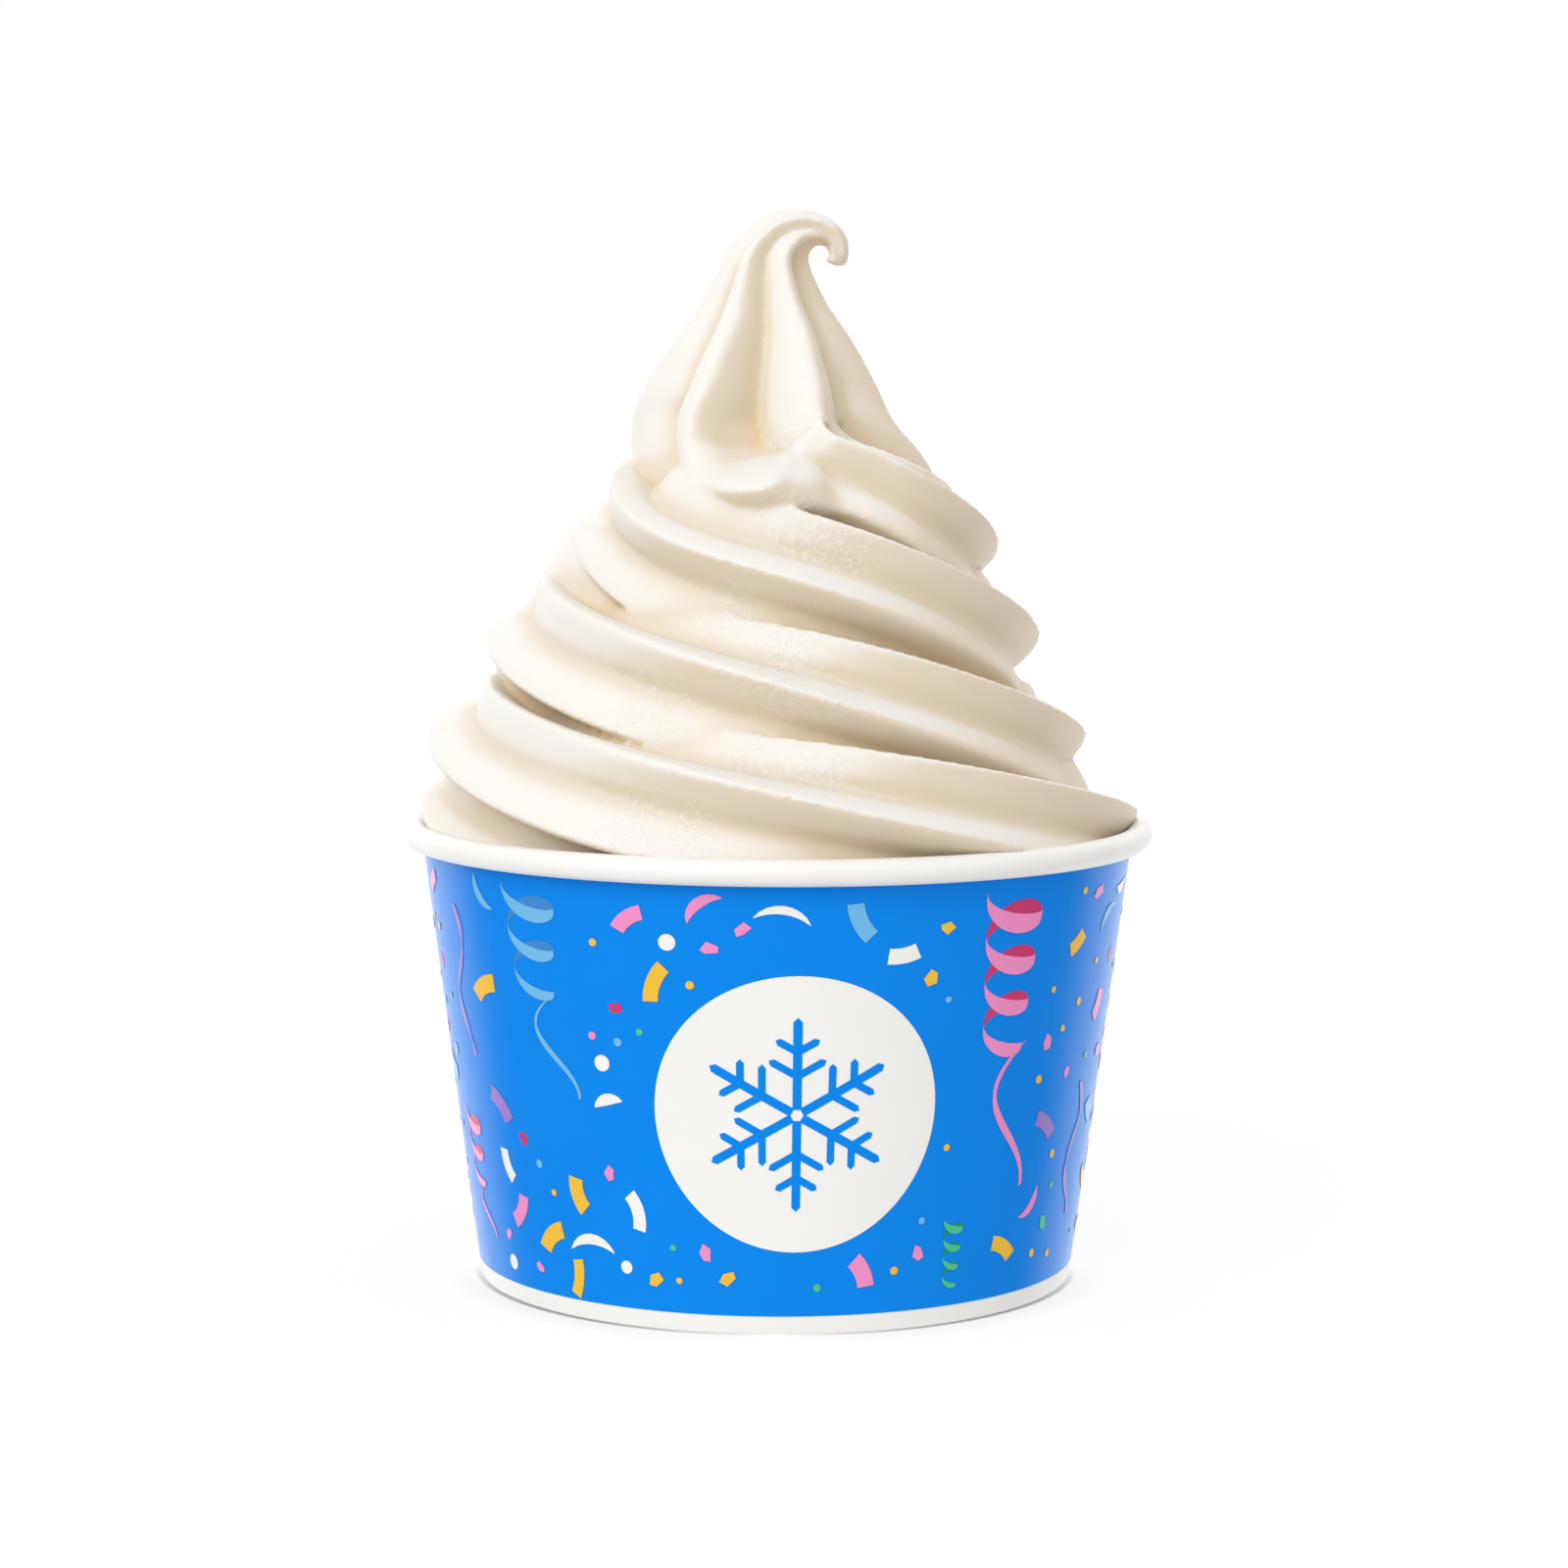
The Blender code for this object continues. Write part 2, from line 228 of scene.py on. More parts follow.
def coil_row(wound):
    """The coil's section: centre, radius, lie, heading, crest angle, depth, power, swell, turn and sink."""
    crest_radius, crest_height, radius = smooth(COIL, wound)
    turn = math.radians(wound)
    reach = crest_radius - radius * math.cos(CREST_LEAN)
    return (reach * math.sin(turn), -reach * math.cos(turn), crest_height - radius * math.sin(CREST_LEAN),
            radius, BEND_LIE, wound, crest_angle(wound), VALLEY_DEPTH, CREST_POWER,
            COIL_SWELL * max(0.0, 1 - (wound - COIL_START) / SWELL_SPAN), 0.0, 0.0)


def peak_rows():
    """Rows of the upright part, from the tip to its foot."""
    heights, angles = zip(*PEAK_CREST)
    levels, shares = zip(*PEAK_GROOVE)
    rows = [(right, PEAK_BACK, height, radius, -lean, 0.0) for height, right, radius, lean in PEAK]
    rows += [(right, back, height, radius, 0.0, 0.0) for height, right, back, radius in PEAK_FOOT]
    return [row + (float(np.interp(row[2], heights, angles)), PEAK_DEPTH, PEAK_POWER, 0.0, 0.0,
                   float(np.interp(row[2], levels, shares))) for row in rows]


def rope_rows():
    """Rows of the bend and the coil, each led by its station in degrees wound."""
    start = COIL_START - BEND_LIE
    above = peak_rows()[:len(PEAK)]
    rows = [(start - PEAK_STEP * (len(above) - i),) + row for i, row in enumerate(above)]
    for lie, right, back, height, radius, crest, depth, swell, turn, sink in BEND:
        share = lie / BEND_LIE
        power = PEAK_POWER + (CREST_POWER - PEAK_POWER) * share
        rows.append((start + lie, right, back, height, radius, lie, COIL_START * share, crest, depth, power,
                     swell, turn, sink))
    for wound in np.arange(COIL_START, COIL_STOP + ROW_STEP / 2, ROW_STEP):
        rows.append((wound,) + coil_row(wound))
    return rows


def mound(angle, place, width):
    """A smooth rise round a place on the circle."""
    away = (angle - place + math.pi) % (2 * math.pi) - math.pi
    return np.exp(-(away / width) ** 2)


def section_ring(row, station=math.inf):
    """Points of one ridged section of the rope; one with no station isn't nudged or folded."""
    right, back, height, radius, lie, heading, crest, depth, power, swell, turn, sink = row
    lie, heading = math.radians(lie), math.radians(heading)
    ahead = np.array([math.cos(heading), math.sin(heading), 0])
    across = np.array([math.sin(heading), -math.cos(heading), 0])
    up = math.cos(lie) * ahead + np.array([0, 0, math.sin(lie)])
    centre = np.array([right, back, height])
    angle = RING_ANGLES
    phase = angle - math.radians(turn) * mound(angle, SWELL_PLACE, 2 * SWELL_WIDTH)
    grown = np.zeros(RING_POINTS)
    for wound, ridge, drop, growth in NUDGES:
        share = math.exp(-((station - wound) / NUDGE_SPAN) ** 2)
        near = share * mound(angle, math.radians(ridge - drop), NUDGE_WIDTH)
        phase = phase + near * math.radians(drop)
        grown += near * growth
    blunt = np.sqrt(np.sin(RIDGES * phase / 2) ** 2 + CREST_BLUNT ** 2) - CREST_BLUNT
    blunt = blunt / (math.hypot(1, CREST_BLUNT) - CREST_BLUNT)
    flank = np.arcsin(EDGE * blunt) / math.asin(EDGE)
    reach = (radius + min(WORN, radius * WORN_SHARE)) * (1 - depth * flank ** power)
    reach = reach * (1 + grown + swell * mound(angle, SWELL_PLACE, SWELL_WIDTH)
                     - sink * mound(angle, GROOVE_PLACE, GROOVE_WIDTH))
    stand = angle + math.radians(crest)
    outward, upward = reach * np.cos(stand), reach * np.sin(stand)
    if station <= COIL_START:
        room = (PIVOT.x - right) * up[0] + (PIVOT.z - height) * up[2]
        upward = np.minimum(upward, max(room, PIVOT_ROOM))
    elif station < COIL_START + PIVOT_SPAN:
        upward = np.minimum(upward, PIVOT.z - height + (station - COIL_START) * PIVOT_SLACK)
    return centre + np.outer(outward, across) + np.outer(upward, up)


def add_loft(bm, rings, closed=False):
    """Adds a solid through a row of rings, capped at both ends, or joined end to end where closed."""
    rows = [[bm.verts.new(Vector(point) * MM) for point in ring] for ring in rings]
    for row, after in zip(rows, rows[1:] + rows[:1] if closed else rows[1:]):
        for i in range(len(row)):
            j = (i + 1) % len(row)
            bm.faces.new((row[i], after[i], after[j], row[j]))
    if not closed:
        bm.faces.new(rows[0])
        bm.faces.new(rows[-1][::-1])


def new_object(name, data):
    """Links a mesh, a lamp or a camera as an object."""
    made = bpy.data.objects.new(name, data)
    bpy.context.scene.collection.objects.link(made)
    return made


def finished(bm, name):
    """An object from a working mesh, its faces turned outwards."""
    bmesh.ops.recalc_face_normals(bm, faces=bm.faces)
    mesh = bpy.data.meshes.new(name)
    bm.to_mesh(mesh)
    bm.free()
    return new_object(name, mesh)


def rounded(made):
    """The object shaded smooth, apart from its sharp edges."""
    made.data.shade_smooth()
    made.data.set_sharp_from_angle(angle=SHARP_EDGE)
    return made


def circle(radius, height):
    """A level ring of points."""
    level = np.full(RING_POINTS, height)
    return np.stack([radius * np.cos(RING_ANGLES), radius * np.sin(RING_ANGLES), level], axis=1)


def heart_ring(height, right, back, radius):
    """A level ring of the heart, flattened behind and in front."""
    ring = circle(radius, height)
    ring[:, 1] *= np.where(ring[:, 1] > 0, HEART_BACK, HEART_FRONT)
    return ring + np.array([right, back, 0])


def apply_modifiers(made):
    """Replaces an object's mesh with its evaluated one and drops its modifiers."""
    graph = bpy.context.evaluated_depsgraph_get()
    mesh = bpy.data.meshes.new_from_object(made.evaluated_get(graph))
    made.modifiers.clear()
    made.data = mesh


def wall_radius(height):
    """Outside of the paper wall at a height."""
    return FOOT_RADIUS + (TOP_RADIUS - FOOT_RADIUS) * height / ROLL_HEIGHT


def keep_in_cup(points):
    """Presses the froyo's points against the inside of the wall and over the rolled rim."""
    radius = np.hypot(points[:, 0], points[:, 1])
    height = points[:, 2]
    limit = wall_radius(height) - PAPER + SWIRL_TOUCH
    reach = ROLL_RADIUS - SWIRL_TOUCH
    beside = np.sqrt(np.clip(reach ** 2 - (height - ROLL_HEIGHT) ** 2, 0, None))
    limit = np.where(np.abs(height - ROLL_HEIGHT) < reach, np.minimum(limit, ROLL_CENTRE - beside), limit)
    pressed = np.where(height < ROLL_HEIGHT, np.minimum(radius, limit), radius)
    over_x, over_z = pressed - ROLL_CENTRE, height - ROLL_HEIGHT
    distance = np.maximum(np.hypot(over_x, over_z), TINY)
    inside = (height >= ROLL_HEIGHT) & (distance < reach)
    pressed = np.where(inside, ROLL_CENTRE + over_x * reach / distance, pressed)
    raised = np.where(inside, ROLL_HEIGHT + over_z * reach / distance, height)
    scale = pressed / np.maximum(radius, TINY)
    return np.stack([points[:, 0] * scale, points[:, 1] * scale, raised], axis=1)


def vectors(mesh, field):
    """The place (co) or the normal of every vertex."""
    flat = np.empty(len(mesh.vertices) * 3)
    mesh.vertices.foreach_get(field, flat)
    return flat.reshape(-1, 3)


def set_share(mesh, name, values):
    """Stores a number from 0 to 1 for each vertex, for the material to read."""
    layer = mesh.attributes.new(name, "FLOAT", "POINT")
    layer.data.foreach_set("value", np.clip(values, 0, 1).astype(np.float32))


def blurred(mesh, values, rounds):
    """Values averaged over their neighbours a number of times."""
    ends = np.empty(len(mesh.edges) * 2, dtype=np.int64)
    mesh.edges.foreach_get("vertices", ends)
    first, second = ends[0::2], ends[1::2]
    count = np.bincount(ends, minlength=len(mesh.vertices))
    for _ in range(rounds):
        total = np.bincount(first, values[second], len(values))
        total += np.bincount(second, values[first], len(values))
        values = 0.5 * values + 0.5 * total / np.maximum(count, 1)
    return values


def hollow_depth(mesh, rounds):
    """How deep each vertex lies under the average of its surroundings, in millimetres."""
    points = vectors(mesh, "co") / MM
    mean = np.stack([blurred(mesh, points[:, axis], rounds) for axis in range(3)], axis=1)
    return np.einsum("ij,ij->i", mean - points, vectors(mesh, "normal"))


def hollow_share(mesh, rounds, reach):
    """How far each vertex lies in a hollow, from 0 on a ridge to 1 in a crease."""
    return np.clip(0.5 + 0.5 * hollow_depth(mesh, rounds) / reach, 0, 1)


def eased(value, low, high):
    """A smooth step from 0 at the low value to 1 at the high one."""
    share = np.clip((value - low) / (high - low), 0, 1)
    return share ** 2 * (3 - 2 * share)


# Icy, pitted places: right, back, height and size of each on the shown side
ICY_SPOTS = [(1, -18, 125, 8), (3, -30.5, 112, 9), (10, -31, 109.5, 6), (-7.4, -33.7, 100, 7),
             (1, -37, 97, 7.5), (0.5, -42, 93, 7.5), (9, -43, 91, 6), (-18, -39, 86, 9),
             (-3, -45.5, 81, 8), (5, -46.5, 79, 7.5), (-20, -48.5, 71, 9), (-12, -50, 70, 7.5)]
ICY_EDGE = 1.5  # over 1, a spot is evenly icy in its middle
# Icy bands behind: waves round the swirl, their slant, their pitch and its start, then gain and loss
ICY_WAVES, ICY_SLANT, ICY_PITCH, ICY_START = 3, 0.21, 0.33, 1.3
ICY_GAIN, ICY_LOSS = 1.6, 0.35
BEHIND_GAIN, BEHIND_FROM = 2, 0.6  # how fast the bands fade in round the sides, and from where


def icy_share(points):
    """Where the froyo shows ice crystals: listed spots in front, and bands behind."""
    icy = np.zeros(len(points))
    for x, y, z, size in ICY_SPOTS:
        distance = np.linalg.norm(points - np.array([x, y, z]), axis=1)
        icy = np.maximum(icy, np.clip(ICY_EDGE * (1 - distance / size), 0, 1))
    turn = np.arctan2(points[:, 0], -points[:, 1])
    wave = np.sin(ICY_WAVES * turn + points[:, 2] * ICY_SLANT)
    wave = wave * np.sin(points[:, 2] * ICY_PITCH + ICY_START)
    behind = np.clip(-np.cos(turn) * BEHIND_GAIN + BEHIND_FROM, 0, 1)
    return np.maximum(icy, np.clip(wave * ICY_GAIN - ICY_LOSS, 0, 1) * behind)


def cut_creases(mesh):
    """Points with the creases between the turns cut deeper."""
    depth = np.clip(hollow_depth(mesh, CUT_ROUNDS) - CREASE_LEAST, 0, None)
    return vectors(mesh, "co") / MM - vectors(mesh, "normal") * (CREASE_CUT * depth)[:, None]


def crossing_solids():
    """The swirl's coil with its bend, peak, heart and part inside the wall, each running into the next."""
    bm = bmesh.new()
    rows = rope_rows()
    bend_start = COIL_START - BEND_LIE - BEND_OVERLAP
    stations = list(np.linspace(bend_start, COIL_START, BEND_RINGS, endpoint=False))
    stations += list(np.arange(COIL_START, COIL_STOP + COIL_STEP / 2, COIL_STEP))
    add_loft(bm, [section_ring(smooth(rows, at), at) for at in stations])
    upright = [[i, *row] for i, row in enumerate(peak_rows())]
    for row, hidden in zip(upright[len(PEAK) - len(PEAK_HIDE):], PEAK_HIDE):
        row[4] -= hidden
    places = np.arange(0, len(upright) - 1 + 0.5 / PEAK_PARTS, 1 / PEAK_PARTS)
    add_loft(bm, [section_ring(smooth(upright, at)) for at in places])
    add_loft(bm, [heart_ring(*row) for row in HEART])
    add_loft(bm, [circle(wall_radius(height) - PAPER, height) for height in (PLUG_HIGH, SWIRL_LOW)])
    return finished(bm, "swirl")


def make_swirl():
    """The froyo over the rim, fused and smoothed into one surface that carries its painted shade and its
    ice.
    """
    swirl = crossing_solids()
    fuse = swirl.modifiers.new("fuse", "REMESH")
    fuse.mode = "VOXEL"
    fuse.voxel_size = VOXEL * MM
    fuse.use_smooth_shade = True
    soften = swirl.modifiers.new("soften", "SMOOTH")
    soften.factor = 0.5
    soften.iterations = SOFTEN_ROUNDS
    apply_modifiers(swirl)
    mesh = swirl.data
    points = keep_in_cup(cut_creases(mesh))
    mesh.vertices.foreach_set("co", (points * MM).ravel())
    mesh.update()
    hollow = hollow_share(mesh, HOLLOW_ROUNDS, HOLLOW_REACH)
    crease = hollow_share(mesh, CREASE_ROUNDS, CREASE_REACH)
    # Painted shade: flanks turned away from the lit side, and broad hollows, are given a beige share
    away = 0.5 - 0.5 * vectors(mesh, "normal") @ np.array(PAINTED_LIGHT_SIDE)
    painted_shade = eased(away, FLANK_FROM, FLANK_TO) * FLANK_SHADE_SHARE
    painted_shade = painted_shade + eased(hollow, HOLLOW_FROM, HOLLOW_TO) * HOLLOW_SHADE_SHARE
    # Painted shade: a golden share along the creases and in the deepest hollows
    painted_crease_shade = np.maximum(crease * CREASE_GAIN - CREASE_LOSS, hollow * DEEP_GAIN - DEEP_LOSS)
    set_share(mesh, "painted_shade", painted_shade)
    set_share(mesh, "crease", painted_crease_shade)
    set_share(mesh, "icy", icy_share(points))
    mesh.shade_smooth()
    return swirl


def arc(centre_x, centre_z, radius, start, stop, parts):
    """Points round an arc, from a start angle to a stop angle in degrees."""
    angles = np.radians(np.linspace(start, stop, parts + 1))
    return [(centre_x + radius * math.cos(a), centre_z + radius * math.sin(a)) for a in angles]


def seam_lift(angle):
    """How far the lapped paper stands out at an angle round the cup."""
    past = (angle - SEAM_ANGLE) % (2 * math.pi)
    rise = min(past / SEAM_STEP, 1)
    fall = min(max((SEAM_WIDTH - past) / (SEAM_WIDTH / 2), 0), 1)
    return SEAM_LIFT * min(rise, fall)


def turned(name, outline, lifted):
    """A closed outline turned about the axis; its first, outer points take the seam's lift."""
    angles = [2 * math.pi * i / TURN_STEPS for i in range(TURN_STEPS)]
    rings = []
    for angle in sorted(angles + [SEAM_ANGLE + SEAM_STEP]):
        lift = seam_lift(angle)
        raised = [(r + (lift if i < lifted else 0), z) for i, (r, z) in enumerate(outline)]
        rings.append([(r * math.sin(angle), -r * math.cos(angle), z) for r, z in raised])
    bm = bmesh.new()
    add_loft(bm, rings, closed=True)
    return rounded(finished(bm, name))


def wall_points(low, high, offset, parts=12):
    """Radius and height of points up or down the wall, standing off its outside by an offset."""
    return [(wall_radius(z) + offset, z) for z in np.linspace(low, high, parts)]


def make_shell():
    """White paper wall, rolled rim and folded foot."""
    outer = arc(ROLL_CENTRE, ROLL_HEIGHT, ROLL_RADIUS, *ROLL_OUTSIDE, 26)
    outer.append((wall_radius(ROLL_HEIGHT - NECK / 2), ROLL_HEIGHT - NECK / 2))
    outer += wall_points(ROLL_HEIGHT - NECK, FOOT_FLANK, 0)
    outer += arc(FOOT_RADIUS - FOOT_ROUND, FOOT_ROUND, FOOT_ROUND, 0, -90, 4)
    hem_top = wall_radius(HEM_HEIGHT)
    inner = [(FOOT_RADIUS - HEM_THICKNESS, 0), (hem_top - HEM_THICKNESS, HEM_HEIGHT),
             (hem_top - PAPER, HEM_HEIGHT)]
    inner += wall_points(HEM_HEIGHT + 1, ROLL_HEIGHT - NECK, -PAPER, 8)
    inner += arc(ROLL_CENTRE, ROLL_HEIGHT, ROLL_RADIUS, *ROLL_INSIDE, 10)
    return turned("cup_shell", outer + inner, len(outer))


def make_sleeve():
    """Blue field of the print."""
    outer = wall_points(PRINT_TOP, BAND_HEIGHT, INK)
    inner = wall_points(BAND_HEIGHT, PRINT_TOP, 0)
    return turned("cup_print", outer + inner, len(outer) + len(inner))


def make_fill():
    """The froyo inside the cup, under the swirl."""
    points = wall_points(FILL_HIGH, BASE_TOP + FILL_GAP, FILL_TOUCH - PAPER, 10)
    bm = bmesh.new()
    add_loft(bm, [circle(radius, height) for radius, height in points])
    return rounded(finished(bm, "froyo_fill"))


def printed(name, shapes, layer):
    """Shapes laid flat on the unrolled wall, in millimetres round and up, as thin ink on the cup."""
    bm = bmesh.new()
    for shape in shapes:
        bm.faces.new([bm.verts.new((s, t, 0)) for s, t in shape])
    places = [s for shape in shapes for s, _ in shape]
    for i in range(math.ceil(min(places) / STRIP), math.floor(max(places) / STRIP) + 1):
        bmesh.ops.bisect_plane(bm, geom=bm.verts[:] + bm.edges[:] + bm.faces[:],
                               plane_co=(i * STRIP, 0, 0), plane_no=(1, 0, 0))
    bmesh.ops.recalc_face_normals(bm, faces=bm.faces)
    bm.verts.index_update()
    flat = [(v.co.x, v.co.y) for v in bm.verts]
    faces = [[v.index for v in f.verts] for f in bm.faces]
    edges = [[v.index for v in e.verts] for e in bm.edges if e.is_boundary]
    bm.free()
    points = []
    for depth in (layer * INK, (layer + 1) * INK):
        for s, t in flat:
            angle = s / MID_RADIUS
            radius = wall_radius(t) + depth + seam_lift(angle)
            points.append((radius * math.sin(angle) * MM, -radius * math.cos(angle) * MM, t * MM))
    count = len(flat)
    solid = [[i + count for i in face] for face in faces] + [face[::-1] for face in faces]
    solid += [[a, b, b + count, a + count] for a, b in edges]
    bm = bmesh.new()
    corners = [bm.verts.new(point) for point in points]
    for face in solid:
        bm.faces.new([corners[i] for i in face])
    return finished(bm, name)


def spun(centre, x, y, turn):
    """A point beside a centre, turned about it."""
    return (centre[0] + x * math.cos(turn) - y * math.sin(turn),
            centre[1] + x * math.sin(turn) + y * math.cos(turn))


def around(centre, radius, parts, squash=1.0, turn=0.0):
    """A round outline."""
    angles = [2 * math.pi * i / parts for i in range(parts)]
    return [spun(centre, radius * math.cos(a), radius * squash * math.sin(a), turn) for a in angles]


def ribbon(points, widths, drop=(0, 1)):
    """Four-sided pieces along a line of points, widened in one fixed direction."""
    lower = [(x - drop[0] * wide / 2, y - drop[1] * wide / 2) for (x, y), wide in zip(points, widths)]
    upper = [(x + drop[0] * wide / 2, y + drop[1] * wide / 2) for (x, y), wide in zip(points, widths)]
    return [[lower[i], lower[i + 1], upper[i + 1], upper[i]] for i in range(len(points) - 1)]


def curl(centre, radius, start, sweep, wide, thin=0.0, parts=8):
    """A bent slip of paper: a band round part of a circle, thinned towards its ends by a share."""
    origin = spun(centre, -radius, 0, start + sweep / 2)
    pieces = []
    for i in range(parts):
        corners = []
        for k, side in ((i, -1), (i + 1, -1), (i + 1, 1), (i, 1)):
            share = k / parts
            reach = radius + side * wide / 2 * (1 - thin * (2 * share - 1) ** 2)
            corners.append(spun(origin, reach, 0, start + sweep * share))
        pieces.append(corners)
    return pieces


# Shares of a streamer: what it narrows by towards its end, and the width of its bands at their ends
STREAMER_NARROW, LOOP_LEAST = 0.3, 0.35
STREAMER_STEPS = 14
# Its tail: swing as a share of the reach, half turns, least width and what waves on top of it, slant
TAIL_SWING, TAIL_TURNS, TAIL_LEAST, TAIL_WAVE, TAIL_SLANT = 0.9, 1.5, 0.22, 0.5, (0.85, 0.5)


def streamer(place, top, turns, reach, pitch, sag, wide, tail):
    """A hanging paper coil seen from the side: its near bands, ending in a tail, and its far ones."""
    near, far = [], []
    halves = int(turns * 2)
    for half in range(halves):
        points, widths = [], []
        for i in range(STREAMER_STEPS + 1):
            angle = math.pi * (half + i / STREAMER_STEPS)
            narrow = 1 - STREAMER_NARROW * angle / (math.pi * halves)
            points.append((place - reach * narrow * math.cos(angle),
                           top - pitch * angle / (2 * math.pi) - sag * narrow * math.sin(angle)))
            widths.append(wide * narrow * (LOOP_LEAST + (1 - LOOP_LEAST) * abs(math.sin(angle))))
        (far if half % 2 else near).extend(ribbon(points, widths))
    if tail:
        swing = reach * TAIL_SWING * (1 if halves % 2 else -1)
        end_x, end_y = points[-1]
        points, widths = [], []
        for i in range(STREAMER_STEPS * 2 + 1):
            share = i / (STREAMER_STEPS * 2)
            angle = math.pi * TAIL_TURNS * share
            narrow = 1 - STREAMER_NARROW * share
            points.append((end_x - swing * narrow * math.sin(angle), end_y - tail * share))
            widths.append(wide * (TAIL_LEAST + TAIL_WAVE * abs(math.cos(angle)) * (1 - share)))
        near.extend(ribbon(points, widths, TAIL_SLANT))
    return near, far


def snowflake(centre, size):
    """A plain six-armed flake."""
    bars = []
    apart = 2 * math.pi / FLAKE_ARMS
    for arm in range(FLAKE_ARMS):
        turn = apart * (arm + 0.5)
        bars.append(((FLAKE_HOLE, 0), (1.0, 0), ARM_WIDTH, turn))
        for at, length in TWIGS:
            for side in (-1, 1):
                tip = (at + length * math.cos(apart), side * length * math.sin(apart))
                bars.append(((at, 0), tip, TWIG_WIDTH, turn))
    shapes = []
    for start, stop, wide, turn in bars:
        along = Vector((stop[0] - start[0], stop[1] - start[1])).normalized()
        side = Vector((-along.y, along.x)) * wide / 2
        corners = [Vector(start) - side, Vector(stop) - side, Vector(stop) + along * wide / 2,
                   Vector(stop) + side, Vector(start) + side]
        shapes.append([spun(centre, size * c.x, size * c.y, turn) for c in corners])
    return shapes


# Streamers: angle round the cup, top, turns, reach, pitch, sag, band width, tail, colour
STREAMERS = [(40, 62.0, 3.5, 5.2, 6.3, 2.6, 2.9, 21, "pink"),
             (-42, 62.6, 2.5, 4.9, 6.0, 2.4, 2.2, 15, "sky"),
             (33, 15.5, 3.5, 1.8, 2.8, 0.9, 1.2, 0, "green"),
             (112, 55, 3.5, 4.2, 5.0, 2.1, 2.2, 15, "yellow"),
             (160, 62.0, 2.5, 4.4, 5.4, 2.3, 2.3, 14, "pink"),
             (208, 40, 3.5, 3.4, 4.6, 1.8, 1.8, 9, "green"),
             (250, 62.6, 3.5, 4.4, 5.4, 2.2, 2.2, 17, "sky"),
             (292, 27, 2.5, 3.2, 4.2, 1.7, 1.7, 8, "pink")]
# Darker inks of their far sides, in the lowest layer of the print
FAR_INKS = {"pink": "crimson", "sky": "haze", "green": "pine", "yellow": "amber"}
# Waving slips: angle, middle height, length, colour
WAVES = [(66, 22, 20, "violet"), (-64, 47, 22, "violet"), (92, 46, 18, "sky"), (186, 24, 22, "violet"),
         (230, 18, 16, "pink"), (268, 50, 18, "yellow")]
WAVE_SWING, WAVE_TURNS, WAVE_SLANT = 1.7, 2.4, (1, 0.25)  # half turns from end to end
WAVE_LEAST, WAVE_BULGES, WAVE_START = 0.25, 3.1, 0.6  # its width, and how that waves
WAVE_STEPS = 30

# Confetti: scraps tried, and the room that a full-sized one takes up
CONFETTI = 330
SPACING = 6.2
CHOICES, ROOMY = 12, 1.2  # each scrap takes the clearest of these spots; more room is no gain
CLEAR = 1.6  # kept free round the disc and the streamers
WAVE_CLEAR = 3.1  # kept free round the middle of a waving slip
LOW_CLEAR, HIGH_CLEAR = 3.2, 2.6  # kept free inside the lower and the upper edge of the print
STREAMER_HOLD, WAVE_HOLD = 2.5, 3.0  # steps between the round places kept free along them
KINDS = ["slip"] * 28 + ["arc"] * 18 + ["dot"] * 28 + ["ball"] * 7 + ["chip"] * 19
NEEDS = {"slip": 1.0, "arc": 1.0, "dot": 0.5, "ball": 0.6, "chip": 0.7}  # shares of the spacing
ROUND = {"dot": (0.45, 0.65, 16), "ball": (0.95, 1.2, 24)}  # least and greatest radius, corners
CHIP_RADIUS, CHIP_SQUASH, CHIP_ROUGH = (1.1, 1.5), 0.72, 0.25
ARC_RADIUS, ARC_SWEEP, ARC_WIDTH, ARC_THIN = (3.6, 5.6), (1.2, 1.7), (1.2, 1.7), 0.9
SLIP_RADIUS, SLIP_LENGTH, SLIP_WIDTH = (5.0, 9.0), (3.8, 5.8), (1.9, 2.6)
INKS = {"slip": ["yellow", "pink", "sky", "white", "violet", "yellow"],
        "arc": ["white", "sky", "pink", "white"],
        "dot": ["sky", "pink", "yellow", "green", "yellow"],
        "ball": ["white", "white", "pink", "sky"],
        "chip": ["pink", "green", "yellow", "pink", "crimson"]}


def confetti_shapes(draw, kind, centre):
    """One scrap of paper confetti."""
    turn = draw.uniform(0, 2 * math.pi)
    if kind in ROUND:
        least, most, parts = ROUND[kind]
        return [around(centre, draw.uniform(least, most), parts)]
    if kind == "arc":
        return curl(centre, draw.uniform(*ARC_RADIUS), turn, draw.uniform(*ARC_SWEEP),
                    draw.uniform(*ARC_WIDTH), ARC_THIN)
    if kind == "slip":
        radius = draw.uniform(*SLIP_RADIUS)
        return curl(centre, radius, turn, draw.uniform(*SLIP_LENGTH) / radius, draw.uniform(*SLIP_WIDTH),
                    parts=5)
    return [[(x + draw.uniform(-CHIP_ROUGH, CHIP_ROUGH), y + draw.uniform(-CHIP_ROUGH, CHIP_ROUGH))
             for x, y in around(centre, draw.uniform(*CHIP_RADIUS), 5, CHIP_SQUASH, turn)]]


def wave_shapes(place, middle, length):
    """A slip that waves as it falls."""
    points, widths = [], []
    for i in range(WAVE_STEPS + 1):
        share = i / WAVE_STEPS
        points.append((place + WAVE_SWING * math.sin(share * WAVE_TURNS * math.pi),
                       middle + length * (0.5 - share)))
        widths.append(WAVE_LEAST + abs(math.sin(share * WAVE_BULGES * math.pi + WAVE_START)))
    return ribbon(points, widths, WAVE_SLANT)


